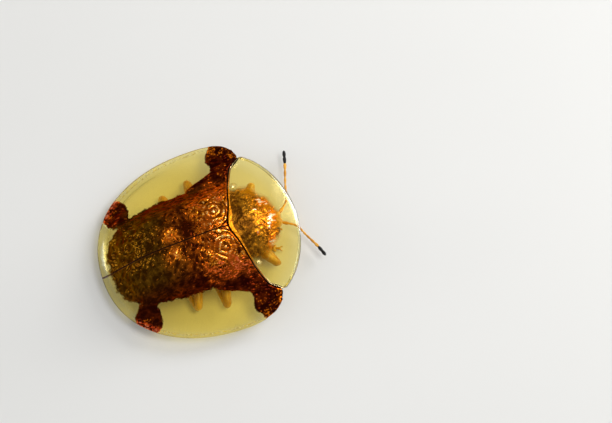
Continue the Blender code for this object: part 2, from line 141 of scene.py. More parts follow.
def wing_case_top(x, y):
    """Height of the wing cases over the floor, without their crinkles."""
    reach = REAR_REACH if x < WIDEST_X else FRONT_REACH
    out = min(superellipse(x - WIDEST_X, y, reach, HALF_WIDTH, OUTLINE_POWER), 1)
    disc = min(superellipse(min(x - WIDEST_X, 0), y, DISC_REAR_REACH, DISC_HALF_WIDTH, DISC_POWER), 1)
    from_hump = ((x - HUMP_X) ** 2 + y * y) / (2 * HUMP_SPREAD**2)
    rearward = min(x - WIDEST_X, 0) ** 2 / ((x - WIDEST_X) ** 2 + y * y + 1)
    rise = MARGIN_RISE * (1 - out ** (2 + 2 * rearward)) ** 1.3 + DISC_RISE * (1 - disc**2.5)
    arm = smoothstep(-0.1, 0.15, max(shoulder_arm(x, y), rear_arm(x, y))) * smoothstep(0.9, 1.0, disc)
    rim = RIM_BEAD * smoothstep(0.93, 1.0, out)
    return RIM_HEIGHT + rim_lift(x) * out**2 + rise + HUMP_RISE * math.exp(-from_hump) + ARM_RISE * arm + rim


def shield_base(y):
    """X of the seam between the neck shield and the wing cases, bowed twice like a brace."""
    width = abs(y)
    lobe = SEAM_LOBE * (1 - math.exp(-((width / SEAM_LOBE_HALF_WIDTH) ** 2)))
    corner = SEAM_CORNER * smoothstep(3.9, 4.5, width) - SEAM_CORNER * smoothstep(4.5, 5.05, width)
    return SHIELD_SEAM_X + lobe + SEAM_BOW * width**SEAM_BOW_POWER + corner


def seam_edge(y, side):
    """X of the edge on one side of the seam, a hair away from it, measured square to it."""
    step = 0.05
    slope = (shield_base(y + step) - shield_base(y - step)) / (2 * step)
    return shield_base(y) + side * SEAM_HALF_GAP * math.sqrt(1 + slope**2)


# The crinkles' warp draws its offsets from this seed, so they lie alike in every run.
CRINKLE_SEED = 7
noise.seed_set(CRINKLE_SEED)


def crinkle(x, y, cells_a_mm, seed, warp=0.5):
    """A net of narrow ridges round uneven hollows: 1 on a ridge and 0 in a hollow."""
    place = Vector((x, y, seed)) * cells_a_mm
    place += warp * noise.noise_vector(place * 0.7)
    near = noise.voronoi(place)[0]
    return 1 - smoothstep(0.0, 0.5, near[1] - near[0])


def disc_relief(x, y):
    """(ridge, height): how much of a ridge the point is on, and its height in millimetres."""
    width = abs(y)
    flank = smoothstep(1.9, 2.7, width)
    net = crinkle(x * (1 - 0.45 * flank), y * (1 + 0.4 * flank), NET_CELLS_A_MM, seed=1.7, warp=0.8)
    fine = crinkle(x, y, FINE_CELLS_A_MM, seed=4.1)
    from_ring = math.hypot(x - RING_X, width - RING_Y)
    uneven = noise.noise(Vector((x, y, 5.0)) * 1.6)
    turns = math.tau * (from_ring - RING_RADIUS) / RING_PITCH + 2.5 * uneven
    arcs = smoothstep(0.1, 0.9, math.cos(turns))
    broken = smoothstep(-0.15, 0.2, noise.noise(Vector((x, y, 13.0)) * 2.2))
    near = 1 - smoothstep(RING_RADIUS + 0.1, RING_RADIUS + 0.35, from_ring)
    ring = near * arcs * (0.3 + 0.7 * broken)
    net *= 1 - 0.6 * near
    swell = noise.noise(Vector((x * SWELLS_A_MM, y * SWELLS_A_MM, 7.0)))
    ridge = min(max(0.6 * net + 0.2 * fine + 0.9 * ring, 0), 1)
    height = NET_HEIGHT * net + FINE_HEIGHT * fine + RING_HEIGHT * ring + SWELL_HEIGHT * swell
    return ridge, height


def painted_highlights(x, y):
    """Painted highlight on the disc: most in the rings, two spots and the shoulders, below 0 in the dark
    saddle.
    """
    width = abs(y)
    uneven = noise.noise(Vector((x, y, 5.0)) * 1.6)
    spot_ahead, spot_aside = x - HIGHLIGHT_SPOT_X + 0.3 * uneven, width - HIGHLIGHT_SPOT_Y - 0.2 * uneven
    spot = math.exp(-((spot_ahead / 0.42) ** 2 + (spot_aside / 0.4) ** 2))
    to_ring = math.hypot(x - RING_X, width - RING_Y)
    rings = 0.45 * math.exp(-((to_ring / 0.85) ** 4))
    front = 0.6 * smoothstep(-0.8, 0.6, x) * (1 - smoothstep(2.8, 3.4, width))
    shoulder = math.exp(-(((x - SHOULDER_HIGHLIGHT_X) / 0.55) ** 2 + ((width - SHOULDER_HIGHLIGHT_Y) / 0.5) ** 2))
    saddle = math.exp(-(((x - SADDLE_X) / 0.55) ** 2 + (width / SADDLE_HALF_WIDTH) ** 4))
    return 1.8 * spot + rings + front + 0.7 * shoulder - 0.4 * saddle


def wing_case_mesh(side):
    """A fan of lines from the notch beside the scutellum to the outline, with its relief and masks."""
    notch_rear = Vector((NOTCH_REAR_X, SEAM_HALF_GAP))
    notch_front = Vector((seam_edge(NOTCH_FRONT_Y, -1), NOTCH_FRONT_Y))
    shoulder_base = Vector((WIDEST_X + (SHOULDER_X - WIDEST_X) * SHOULDER_BASE_SHARE, SHOULDER_BASE_Y))
    shoulder = math.acos(((SHOULDER_X - WIDEST_X) / FRONT_REACH) ** (OUTLINE_POWER / 2))
    bm = bmesh.new()
    bmesh.ops.create_grid(bm, x_segments=WING_CASE_COLUMNS, y_segments=WING_CASE_ROWS, size=1)
    inside_layer = bm.verts.layers.float.new("inside")
    ridge_layer = bm.verts.layers.float.new("ridge")
    out_layer = bm.verts.layers.float.new("out")
    around_layer = bm.verts.layers.float.new("around")
    edge_layer = bm.verts.layers.float.new("edge")
    # The gold layer carries the disc's painted highlight.
    gold_layer = bm.verts.layers.float.new("gold")
    for vert in bm.verts:
        out, row = (vert.co.x + 1) / 2, (vert.co.y + 1) / 2
        share = row**1.15
        angle = math.pi - share * (math.pi - shoulder)
        reach = REAR_REACH if angle > math.pi / 2 else FRONT_REACH
        forward = math.copysign(abs(math.cos(angle)) ** (2 / OUTLINE_POWER), math.cos(angle))
        sideways = math.sin(angle) ** (2 / OUTLINE_POWER)
        corner_cut = 1 - CORNER_CUT * max((share - 0.9) / 0.1, 0) ** 2
        rim_x = WIDEST_X + reach * forward * corner_cut
        rim_y = max(HALF_WIDTH * sideways * corner_cut, SEAM_HALF_GAP)
        point = notch_rear.lerp(notch_front, share).lerp(Vector((rim_x, rim_y)), out)
        at_base = notch_front.lerp(shoulder_base, out)
        x = point.x + share**3 * (seam_edge(at_base.y, -1) - at_base.x)
        y = side * point.y
        inside = disc_inside(x, y)
        ridge, height = disc_relief(x, y)
        solid = smoothstep(-0.05, 0.25, inside)
        to_rim = math.hypot(x - rim_x, point.y - rim_y)
        to_base = max(seam_edge(point.y, -1) - x, 0)
        to_seam = point.y - SEAM_HALF_GAP
        edge = math.exp(-((to_base / LIP_WIDTH) ** 2)) + 0.5 * math.exp(-((to_seam / SEAM_SHADE) ** 2))
        past_lip = (to_base - LIP_FROM_BASE) / LIP_WIDTH
        lip = LIP_HEIGHT * math.exp(-(past_lip**2)) * smoothstep(0, 0.3, inside)
        z = wing_case_top(x, y) + height * solid * smoothstep(0.0, 0.25, min(to_rim, to_base)) + lip
        vert.co = Vector((x, y, z))
        vert[inside_layer] = inside
        vert[ridge_layer] = ridge
        vert[out_layer] = to_rim
        vert[around_layer] = share * STRIAE_ROUND_WING_CASE
        vert[edge_layer] = min(edge, 1)
        vert[gold_layer] = painted_highlights(x, y)
    return bm


def to_piece(name, bm, paint, node, wall=0.0):
    """Turns a bmesh in the beetle's own frame, in millimetres, into the piece that stands for a node."""
    bm.normal_update()
    if not wall:
        bmesh.ops.recalc_face_normals(bm, faces=bm.faces)
    elif sum(face.normal.z for face in bm.faces) < 0:
        bmesh.ops.reverse_faces(bm, faces=bm.faces)
    bmesh.ops.transform(
        bm, matrix=Matrix.Scale(MM, 4) @ Matrix.Translation((-BOX_MIDDLE_X, 0, 0)), verts=bm.verts
    )
    mesh = bpy.data.meshes.new(name)
    bm.to_mesh(mesh)
    bm.free()
    mesh.shade_smooth()
    mesh.materials.append(paint.material)
    piece = bpy.data.objects.new(name, mesh)
    bpy.context.scene.collection.objects.link(piece)
    if wall:
        solid = piece.modifiers.new("Wall", "SOLIDIFY")
        solid.thickness = wall * MM
        solid.offset = -1
    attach(piece, "root")
    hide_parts(node)
    return piece


class Number:
    """A number that varies over a surface: arithmetic on it adds the Math nodes."""

    def __init__(self, paint, socket):
        self.paint, self.socket = paint, socket

    def math(self, operation, *values):
        made = self.paint.add("ShaderNodeMath", {"operation": operation}, *values)
        return Number(self.paint, made.outputs[0])

    def __add__(self, other):
        return self.math("ADD", self, other)

    __radd__ = __add__

    def __mul__(self, other):
        return self.math("MULTIPLY", self, other)

    __rmul__ = __mul__

    def __sub__(self, other):
        return self.math("SUBTRACT", self, other)

    def __rsub__(self, other):
        return self.math("SUBTRACT", other, self)

    def abs(self):
        return self.math("ABSOLUTE", self)

    def max(self, other):
        return self.math("MAXIMUM", self, other)

    def min(self, other):
        return self.math("MINIMUM", self, other)

    def ramp(self, low, high):
        """0 below low, 1 above high, and smooth between them."""
        settings = {"interpolation_type": "SMOOTHSTEP"}
        made = self.paint.add("ShaderNodeMapRange", settings, self, low, high, 0.0, 1.0)
        return Number(self.paint, made.outputs[0])


class Paint:
    """One material and the nodes that vary it."""

    def __init__(self, name, **surface):
        self.material = bpy.data.materials.new(name)
        self.material.use_nodes = True
        self.tree = self.material.node_tree
        self.surface = self.tree.nodes["Principled BSDF"]
        self.output = self.tree.nodes["Material Output"]
        self.place = self.add("ShaderNodeTexCoord").outputs["Object"]
        self.finish(**surface)

    def put(self, socket, value):
        value = value.socket if isinstance(value, Number) else value
        if isinstance(value, bpy.types.NodeSocket):
            self.tree.links.new(value, socket)
        else:
            socket.default_value = value

    def add(self, kind, settings=None, *values, **named):
        made = self.tree.nodes.new(kind)
        for key, value in (settings or {}).items():
            setattr(made, key, value)
        for socket, value in zip(made.inputs, values):
            self.put(socket, value)
        for name, value in named.items():
            self.put(made.inputs[name.replace("_", " ")], value)
        return made

    def finish(self, **sockets):
        """Sets or links sockets of the surface, such as Base_Color."""
        for name, value in sockets.items():
            self.put(self.surface.inputs[name.replace("_", " ")], value)

    def number(self, socket):
        return Number(self, socket)

    def attribute(self, name):
        return self.number(self.add("ShaderNodeAttribute", {"attribute_name": name}).outputs["Fac"])

    def axes(self):
        """The point's X and Y in the beetle's own frame, in millimetres."""
        split = self.add("ShaderNodeSeparateXYZ", None, self.place).outputs
        x, y = (self.number(split[axis]) * MM_A_METRE for axis in ("X", "Y"))
        return x + BOX_MIDDLE_X, y

    def noise(self, cells_a_mm, detail=2.0, place=None):
        """Noise over the piece, or over another place in millimetres."""
        scale = cells_a_mm if place else cells_a_mm * MM_A_METRE
        made = self.add("ShaderNodeTexNoise", None, Vector=place or self.place, Scale=scale, Detail=detail)
        return self.number(made.outputs[0])

    def cells(self, cells_a_mm, feature="F1", place=None):
        scale = cells_a_mm if place else cells_a_mm * MM_A_METRE
        made = self.add("ShaderNodeTexVoronoi", {"feature": feature}, Vector=place or self.place, Scale=scale)
        return self.number(made.outputs["Distance"])

    def mix(self, share, first, second):
        made = self.add("ShaderNodeMix", {"data_type": "RGBA"})
        for index, value in ((0, share), (6, first), (7, second)):
            self.put(made.inputs[index], value)
        return made.outputs[2]

    def bump(self, height, depth_mm, strength=1.0):
        made = self.add("ShaderNodeBump", None, Strength=strength, Distance=depth_mm * MM, Height=height)
        self.finish(Normal=made.outputs[0])

    def clear_where(self, opaque, tint):
        """Lets the light through, tinted, where opaque is 0."""
        clear = self.add("ShaderNodeBsdfTransparent", None, tint)
        both = self.add("ShaderNodeMixShader", None, opaque, clear.outputs[0], self.surface.outputs[0])
        self.put(self.output.inputs["Surface"], both.outputs[0])


SEAM_BROWN = (0.008, 0.002, 0.001, 1)
TAIL_SEAM_BROWN = (0.09, 0.022, 0.003, 1)
MAROON = (0.055, 0.007, 0.001, 1)
DARK_RED = (0.026, 0.002, 0.001, 1)
DEEP_RED = (0.16, 0.013, 0.001, 1)
RED = (1.0, 0.10, 0.020, 1)
COPPER = (0.60, 0.115, 0.006, 1)
DARK_OLIVE = (0.045, 0.014, 0.001, 1)
OLIVE_GOLD = (0.20, 0.085, 0.005, 1)
ORANGE = (1.0, 0.24, 0.008, 1)
GOLD = (1.0, 0.33, 0.012, 1)
PINK = (1.0, 0.32, 0.14, 1)
PALE_GOLD = (1.0, 0.66, 0.24, 1)
WHITE_GOLD = (1.0, 0.82, 0.48, 1)
RIM_YELLOW = (0.85, 0.60, 0.03, 1)
MARGIN_GLOSS = (0.80, 0.72, 0.40, 1)
EDGE_GLOSS = (0.72, 0.82, 0.90, 1)
MARGIN_TINT = (0.99, 0.925, 0.58, 1)
EDGE_TINT = (1.0, 0.45, 0.20, 1)


def wing_case_paint():
    """Dark red-brown metal, redder at the sides, olive behind and golden in front, with a clear margin.
    Its glints and golden highlights are painted, and so is shade in its hollows, on its left flank and
    behind.
    """
    paint = Paint("wing_case", Specular_Tint=EDGE_TINT, Specular_IOR_Level=0.15)
    x, y = paint.axes()
    width = y.abs()
    # gold is the painted highlight laid on the disc.
    ridge, inside, gold = paint.attribute("ridge"), paint.attribute("inside"), paint.attribute("gold")
    to_rim, around, edge = paint.attribute("out"), paint.attribute("around"), paint.attribute("edge")
    grain = paint.noise(3.0, detail=3)
    speckle = paint.noise(9.0, detail=2)
    patches = paint.noise(0.9, detail=2)
    solid = (inside + (speckle - 0.5) * 0.08 + (grain - 0.5) * 0.35).ramp(-0.03, 0.06)

    # Behind, the metal turns darker and olive: partly its own colour, partly painted shade and a painted
    # green reflection.
    rear = (x * -1 + (patches - 0.5) * 2).ramp(0.2, 3.0)
    flank = width.ramp(1.9, 2.9)
    arm = width.ramp(3.1, 3.5)
    blotches = paint.noise(1.7, detail=2)
    # lit is lighter on ridges and darker in hollows: painted light and shade, with random tone and the
    # painted highlight.
    lit = (ridge * 0.5 + (grain - 0.5) * 1.1 + (blotches - 0.5) * 1.2 + gold * 0.35).ramp(0.0, 0.9)
    colour = paint.mix(lit, MAROON, COPPER)
    rear = rear * (1 - gold.max(0) * 0.7)
    colour = paint.mix(rear, colour, paint.mix(lit, DARK_OLIVE, OLIVE_GOLD))
    # On the left side the red flank fades: painted shade on that side.
    left = y.ramp(-1.0, 1.0)
    before_patch = x.ramp(-4.2, -3.4)
    red_flank = (width + 0.4 - left * 0.4).ramp(1.9, 2.9) * (1 - left * before_patch * 0.5)
    red_flank = red_flank * (1 - rear * (0.2 + left * 0.4) * (1 - width.ramp(2.6, 2.9)))
    reddened = red_flank.max(arm) * (1 - gold * 0.5) * 0.9
    colour = paint.mix(reddened, colour, paint.mix(lit, DARK_RED, DEEP_RED))
    # Painted glints: small gold, orange and red painted highlights on the ridges, with pale gold and pink hot
    # cores.
    tip = arm * (1 - to_rim.ramp(0.3, 1.3)) * (1 + (x * -1).ramp(0, 1) * 0.6)
    cluster = (gold * 0.4 + (blotches - 0.5) * 0.7).min(0.26) - rear * 0.2 - flank * 0.12 + tip * 0.25
    calm = (1 - (width - 0.5).abs().ramp(0.3, 0.6)) * x.ramp(0.2, 0.6) * (1 - x.ramp(1.0, 1.4)) * 0.2
    glint = (ridge * 0.55 + (speckle - 0.5) * 1.3 + (grain - 0.5) * 0.7 + cluster - calm).ramp(0.45, 0.75)
    red_glint_side = ((width - x * 0.1) * (1 - arm) + (blotches - 0.5) + (grain - 0.5) * 2).ramp(1.6, 2.2)
    red_glint_side = red_glint_side * (0.25 + (x + (blotches - 0.5) * 2).ramp(-0.6, 0.9) * 0.75)
    glint_colour = paint.mix(flank.max(arm).max(blotches.ramp(0.4, 0.6)), GOLD, ORANGE)
    colour = paint.mix(glint, colour, paint.mix(red_glint_side * 0.8, glint_colour, RED))
    glint_height = speckle + ridge * 0.25 + (grain - 0.5) * 0.5 + gold * 0.1
    hot_glint = glint * glint_height.ramp(0.84, 0.94) * (1 - arm)
    hot_glint = hot_glint * (0.25 + x.ramp(0.0, 1.0) * 0.75)
    colour = paint.mix(hot_glint * (1 - red_glint_side * 0.5), colour, paint.mix(red_glint_side, PALE_GOLD, PINK))
    # Painted shade darkens the left flank.
    shaded_left_flank = y.ramp(1.7, 2.7) * (1 - arm) * before_patch * (1 - x.ramp(0.9, 1.9) * 0.8)
    colour = paint.mix(shaded_left_flank * 0.65, colour, DARK_OLIVE)
    colour = paint.mix(edge * (1 - arm) * 0.4, colour, COPPER)
    # Painted red and pink glints at the outer edge of the rear patches.
    rear_tip_glint = arm * (1 - to_rim.ramp(0.1, 0.5)) * (x * -1).ramp(0, 1)
    colour = paint.mix(rear_tip_glint * (speckle + (grain - 0.5) * 0.7).ramp(0.42, 0.6), colour, RED)
    colour = paint.mix((rear_tip_glint * (grain + (speckle - 0.5) * 0.8)).ramp(0.5, 0.6), colour, PINK)
    seam = (1 - (width - SEAM_HALF_GAP).ramp(0.02, 0.06)).max(edge.ramp(0.7, 0.85))
    colour = paint.mix(seam, colour, paint.mix(solid, TAIL_SEAM_BROWN, SEAM_BROWN))

    beaded = (paint.noise(6.0, detail=2) + (patches - 0.5) * 0.6).ramp(0.4, 0.6)
    tail = (x * -1).ramp(4.9, 5.7)
    rim = to_rim.ramp(0.10, 0.16) * (1 - to_rim.ramp(0.20, 0.27)) * (0.15 + beaded * 0.85) * (1 - tail)
    lip = to_rim.ramp(0.34, 0.42) * (1 - to_rim.ramp(0.6, 0.75)) * tail
    rim = rim.max(lip * 0.5 * (0.3 + beaded * 0.7))
    gloss = paint.mix(to_rim.ramp(0.35, 0.45), EDGE_GLOSS, MARGIN_GLOSS)
    paint.finish(
        Base_Color=paint.mix(solid.ramp(0, 0.3).max(seam), paint.mix(rim, gloss, RIM_YELLOW), colour),
        Metallic=solid.max(1 - rim * 0.8) * (1 - seam),
        Roughness=(solid * (0.10 + speckle * 0.2) + (1 - solid) * 0.14).max(seam * 0.8),
    )
    polar = paint.add("ShaderNodeCombineXYZ", None, around * 1.6, to_rim * 0.9, 0.0).outputs[0]
    striae = 1 - paint.cells(3.0, "DISTANCE_TO_EDGE", polar).ramp(0.0, 0.09)
    facing = paint.number(paint.add("ShaderNodeFresnel", None, 1.4).outputs[0])
    near_rim = 1 - to_rim.ramp(0.3, 0.75)
    clear = 0.001 + facing * (0.06 + near_rim * 0.7) + rim * 0.5 + striae * 0.04
    paint.clear_where(solid.max(clear.min(0.95)).max(seam * 0.95), MARGIN_TINT)
    paint.bump((grain * 0.4 + speckle * 0.4) * solid, 0.03, 0.8)
    return paint


wing_paint = wing_case_paint()
to_piece("wing_case_left", wing_case_mesh(1), wing_paint, "elytron_left", WING_CASE_WALL)
to_piece("wing_case_right", wing_case_mesh(-1), wing_paint, "elytron_right", WING_CASE_WALL)

# Neck shield: one hard plate, round in front, that hides the head. Its domed middle is finely pricked and
# shines like gold foil, with painted highlights and glints, and its wide edge is clear. It fits the wing
# cases along a seam like a brace.
SHIELD_X, SHIELD_REACH, SHIELD_HALF_WIDTH, SHIELD_POWER = 2.9, 3.6, 4.95, 1.9
SHIELD_CORNER_Y = 4.45
SHIELD_MARGIN_RISE, SHIELD_DISC_RISE = 2.2, 1.1
SHIELD_DISC_X, SHIELD_DISC_REACH, SHIELD_DISC_HALF_WIDTH, SHIELD_DISC_POWER = 2.4, 3.15, 3.0, 2.2
FOIL_REACH, FOIL_HALF_WIDTH, FOIL_EDGE = 3.35, 2.75, 0.9
SHIELD_WALL, SHIELD_RIM_BEAD = 0.16, 0.05
SHIELD_COLUMNS, SHIELD_ROWS = 280, 150
RIM_ROLL, ROLL_WIDTH, SHIELD_TUCK, FLUSH_LENGTH = 0.11, 0.24, 0.04, 0.7
RIB_HEIGHT, RIB_FROM_BASE, RIB_WIDTH = 0.05, 0.1, 0.08
MIDDLE_RIB_HEIGHT, MIDDLE_RIB_FROM_BASE, MIDDLE_RIB_WIDTH = 0.04, 0.22, 0.1
GLINT_X, GLINT_Y, GLINT_LENGTH, GLINT_WIDTH, GLINT_RISE = 3.2, 2.6, 0.2, 0.16, 0.15
SHIELD_SWELLS_A_MM, CRUMPLES_A_MM, PRICKS_A_MM = 1.1, 2.6, 5.5
SHIELD_SWELL_HEIGHT, FOLD_HEIGHT, CRUMPLE_HEIGHT, PRICK_DEPTH = 0.07, 0.05, 0.03, 0.02
STRIAE_ROUND_SHIELD = 14
# Each swelling raises the foil a little and carries its painted highlight.
FOLDS_AND_HIGHLIGHTS = (
    (4.55, 1.0, 0.36, 0.34, 0.0),
    (3.9, 0.57, 0.2, 0.15, 0.0),
    (4.6, -0.45, 0.6, 0.2, 0.05),
    (4.9, -0.15, 0.4, 0.5, 0.0),
    (3.62, -0.98, 0.2, 0.18, 0.0),
    (4.4, -1.6, 0.6, 0.33, 1.2),
)


def shield_top(x, y):
    """Height of the neck shield over the floor, without its folds."""
    ahead = max(x - SHIELD_X, 0)
    out = min(superellipse(ahead, y, SHIELD_REACH, SHIELD_HALF_WIDTH, SHIELD_POWER), 1)
    disc = superellipse(
        x - SHIELD_DISC_X, y, SHIELD_DISC_REACH, SHIELD_DISC_HALF_WIDTH, SHIELD_DISC_POWER
    )
    rise = SHIELD_MARGIN_RISE * (1 - out**2) ** 1.2
    dome = SHIELD_DISC_RISE * (1 - min(disc, 1) ** 2) ** 1.4
    rim = SHIELD_RIM_BEAD * smoothstep(0.94, 1.0, out)
    return RIM_HEIGHT + rim_lift(x) * out**2 + rise + dome + rim


def folds_and_highlights(x, y):
    """1 on the low swellings of the foil, where highlights are painted, and 0 between them; each has a place,
    two half-widths and a turn.
    """
    height = 0.0
    for fold_x, fold_y, along, across, turn in FOLDS_AND_HIGHLIGHTS:
        dx = x - fold_x + 0.35 * noise.noise(Vector((x, y, 9.0)) * 1.9)
        dy = y - fold_y + 0.35 * noise.noise(Vector((x, y, 11.0)) * 1.9)
        ahead = (dx * math.cos(turn) + dy * math.sin(turn)) / along
        aside = (dy * math.cos(turn) - dx * math.sin(turn)) / across
        height = max(height, math.exp(-(ahead**2 + aside**2)))
    return height


def neck_shield_mesh():
    """A fan of lines from the seam, tucked a little under the wing cases, to the rolled front rim."""
    bm = bmesh.new()
    bmesh.ops.create_grid(bm, x_segments=SHIELD_COLUMNS, y_segments=SHIELD_ROWS, size=1)
    inside_layer = bm.verts.layers.float.new("inside")
    out_layer = bm.verts.layers.float.new("out")
    around_layer = bm.verts.layers.float.new("around")
    edge_layer = bm.verts.layers.float.new("edge")
    glint_layer = bm.verts.layers.float.new("glint")
    fold_layer = bm.verts.layers.float.new("fold_and_highlight")
    corner = math.asin((SHIELD_CORNER_Y / SHIELD_HALF_WIDTH) ** (SHIELD_POWER / 2))
    for vert in bm.verts:
        across, ahead = (vert.co.x + 1) / 2, (vert.co.y + 1) / 2
        base_y = SHIELD_CORNER_Y * math.sin(math.pi * (across - 0.5))
        base = Vector((seam_edge(base_y, 1) - SHIELD_TUCK, base_y))
        angle = corner * (2 * across - 1)
        sideways = math.copysign(abs(math.sin(angle)) ** (2 / SHIELD_POWER), angle)
        forward = math.cos(angle) ** (2 / SHIELD_POWER)
        front = Vector((SHIELD_X + SHIELD_REACH * forward, SHIELD_HALF_WIDTH * sideways))
        point = base.lerp(front, ahead)
        x, y = point
        foil = superellipse(x - SHIELD_DISC_X, y, FOIL_REACH, FOIL_HALF_WIDTH, SHIELD_DISC_POWER)
        inside = (FOIL_EDGE - foil) * SHIELD_DISC_HALF_WIDTH
        to_base, to_rim = (point - base).length, (point - front).length
        glint_ahead, glint_aside = (x - GLINT_X) / GLINT_LENGTH, (abs(y) - GLINT_Y) / GLINT_WIDTH
        glint = math.exp(-(glint_ahead**2 + glint_aside**2))
        pricks = noise.voronoi(Vector((x, y, 3.0)) * PRICKS_A_MM)[0][0]
        swell = noise.noise(Vector((x * SHIELD_SWELLS_A_MM, y * SHIELD_SWELLS_A_MM, 2.0)))
        solid = smoothstep(-0.1, 0.5, inside)
        fold_and_highlight = folds_and_highlights(x, y)
        crumple = crinkle(x, y, CRUMPLES_A_MM, seed=8.3, warp=0.8)
        pricked = 1 - smoothstep(0.1, 0.45, pricks)
        relief = SHIELD_SWELL_HEIGHT * swell + FOLD_HEIGHT * fold_and_highlight + CRUMPLE_HEIGHT * crumple
        relief -= PRICK_DEPTH * pricked
        flush = wing_case_top(*base) - shield_top(*base)
        z = shield_top(x, y) + solid * relief + flush * (1 - smoothstep(0.0, FLUSH_LENGTH, to_base))
        past_rib = (to_base - RIB_FROM_BASE) / RIB_WIDTH
        past_middle_rib = (to_base - MIDDLE_RIB_FROM_BASE) / MIDDLE_RIB_WIDTH
        z += RIB_HEIGHT * math.exp(-(past_rib**2)) + GLINT_RISE * glint
        z += MIDDLE_RIB_HEIGHT * math.exp(-(past_middle_rib**2)) * (1 - smoothstep(0.5, 1.5, abs(y)))
        rolled = RIM_ROLL * max(1 - to_rim / ROLL_WIDTH, 0) ** 2
        tucked = SHIELD_TUCK * (1 - smoothstep(0, SHIELD_TUCK, to_base))
        z -= rolled + tucked
        vert.co = Vector((x, y, z))
        vert[inside_layer] = inside
        vert[out_layer] = to_rim
        vert[around_layer] = across * STRIAE_ROUND_SHIELD
        vert[edge_layer] = to_base - SHIELD_TUCK
        vert[glint_layer] = glint
        vert[fold_layer] = fold_and_highlight
    return bm


DARK_BRONZE = (0.11, 0.036, 0.003, 1)
GLINT_YELLOW = (1.0, 0.84, 0.35, 1)
BRONZE = (0.60, 0.24, 0.014, 1)


def neck_shield_paint():
    """Bronze foil with painted gold glints as specks, painted orange and white highlights on its folds in
    front, and clear outside it.
    """
    paint = Paint("neck_shield", Specular_Tint=EDGE_TINT)
    x, y = paint.axes()
    width = y.abs()
    inside, to_rim = paint.attribute("inside"), paint.attribute("out")
    around, edge, glint = paint.attribute("around"), paint.attribute("edge"), paint.attribute("glint")
    fold_and_highlight = paint.attribute("fold_and_highlight")
    grain = paint.noise(4.0, detail=3)
    speckle = paint.noise(10.0, detail=2)
    patches = paint.noise(1.1, detail=2)
    hollow = 1 - paint.cells(7.0).ramp(0.05, 0.4)
    solid = (inside + (patches - 0.5) * 0.7 + (grain - 0.5) * 0.3).ramp(-0.15, 0.45).max(glint * 0.9)
    # lit grows towards the front: painted light, with random tone.
    lit = (grain + (patches - 0.5) * 0.8 + x.ramp(2.6, 4.2) * 0.25 - 0.2).ramp(0.2, 0.8)
    # front is the painted orange highlight on the front of the dome.
    front = (x + patches * 1.2 - width * 0.2).ramp(4.0, 5.0)
    highlight_zone = (x + (patches - 0.5) * 1.5).ramp(3.1, 4.1).max(fold_and_highlight)
    colour = paint.mix(lit, DARK_BRONZE, BRONZE)
    colour = paint.mix(front * 0.5 * (0.4 + lit * 0.6), colour, COPPER)
    # The gold specks are painted glints, most where the highlights are.
    specks = (speckle + (grain - 0.5) * 0.8 + fold_and_highlight * 0.2).ramp(0.56, 0.68) * (0.15 + highlight_zone * 0.8)
    colour = paint.mix(specks, colour, GOLD)
    brushed = paint.add("ShaderNodeCombineXYZ", None, x * 1.5, y * 8.0, 0.0).outputs[0]
    streaks = paint.noise(1.0, detail=2, place=brushed)
    # Orange and white painted highlights on the folds.
    colour = paint.mix((fold_and_highlight + (speckle - 0.5) * 0.9 + (grain - 0.5)).ramp(0.36, 0.62), colour, ORANGE)
    white = fold_and_highlight + (grain - 0.5) * 1.2 + (streaks - 0.5) * 2.2 - (y * -1).ramp(0.9, 1.3) * 0.35
    colour = paint.mix(white.ramp(0.72, 0.95), colour, WHITE_GOLD)
    # Painted shade darkens the pricks.
    colour = paint.mix(hollow * 0.4, colour, DARK_BRONZE)
    middle = 1 - width.ramp(0.5, 1.5)
    rib_front = 1 - (edge - middle * 0.14).ramp(0.09, 0.14)
    rib = edge.ramp(0.03, 0.06) * rib_front * (1 - width.ramp(3.4, 4.2) * 0.7)
    rib = rib * (1 - (grain - 0.4).ramp(0, 0.2) * (edge - 0.1).ramp(0, 0.05) * 0.6)
    colour = paint.mix(rib * 0.85, colour, GOLD)
    colour = paint.mix(1 - edge.ramp(0.03, 0.05), colour, SEAM_BROWN)
    colour = paint.mix(glint, colour, GLINT_YELLOW)
    beaded = paint.noise(4.0, detail=1).ramp(0.42, 0.6)
    rim = to_rim.ramp(0.08, 0.13) * (1 - to_rim.ramp(0.17, 0.23)) * (0.1 + beaded * 0.9)
    rim = rim * (0.35 + width.ramp(1.5, 3.0) * 0.65)
    base_line = rib.max(1 - edge.ramp(0.03, 0.07))
    gloss = paint.mix(to_rim.ramp(0.2, 0.35), EDGE_GLOSS, MARGIN_GLOSS)
    paint.finish(
        Base_Color=paint.mix(solid.ramp(0, 0.2).max(base_line), paint.mix(rim, gloss, RIM_YELLOW), colour),
        Metallic=solid.max(1 - rim * 0.8),
        Roughness=solid * (0.10 + grain * 0.2 + (1 - highlight_zone) * 0.22) + (1 - solid) * 0.10,
    )
    polar = paint.add("ShaderNodeCombineXYZ", None, around * 1.6, to_rim * 0.9, 0.0).outputs[0]
    striae = 1 - paint.cells(3.0, "DISTANCE_TO_EDGE", polar).ramp(0.0, 0.08)
    facing = paint.number(paint.add("ShaderNodeFresnel", None, 1.4).outputs[0])
    near_rim = 1 - to_rim.ramp(0.3, 0.7)
    lip = 1 - to_rim.ramp(0.10, 0.2)
    clear = 0.001 + facing * (0.03 + near_rim * 0.2 + lip * 5) + rim * 0.45 + striae * 0.03
    paint.clear_where((solid * 0.92).max(clear.min(0.95)).max(base_line * 0.98), MARGIN_TINT)
    paint.bump((grain * 0.4 + streaks * 0.4 - hollow * 0.8) * solid, 0.03, 0.9)
    return paint


shield_paint = neck_shield_paint()
to_piece("neck_shield", neck_shield_mesh(), shield_paint, "pronotum", SHIELD_WALL)

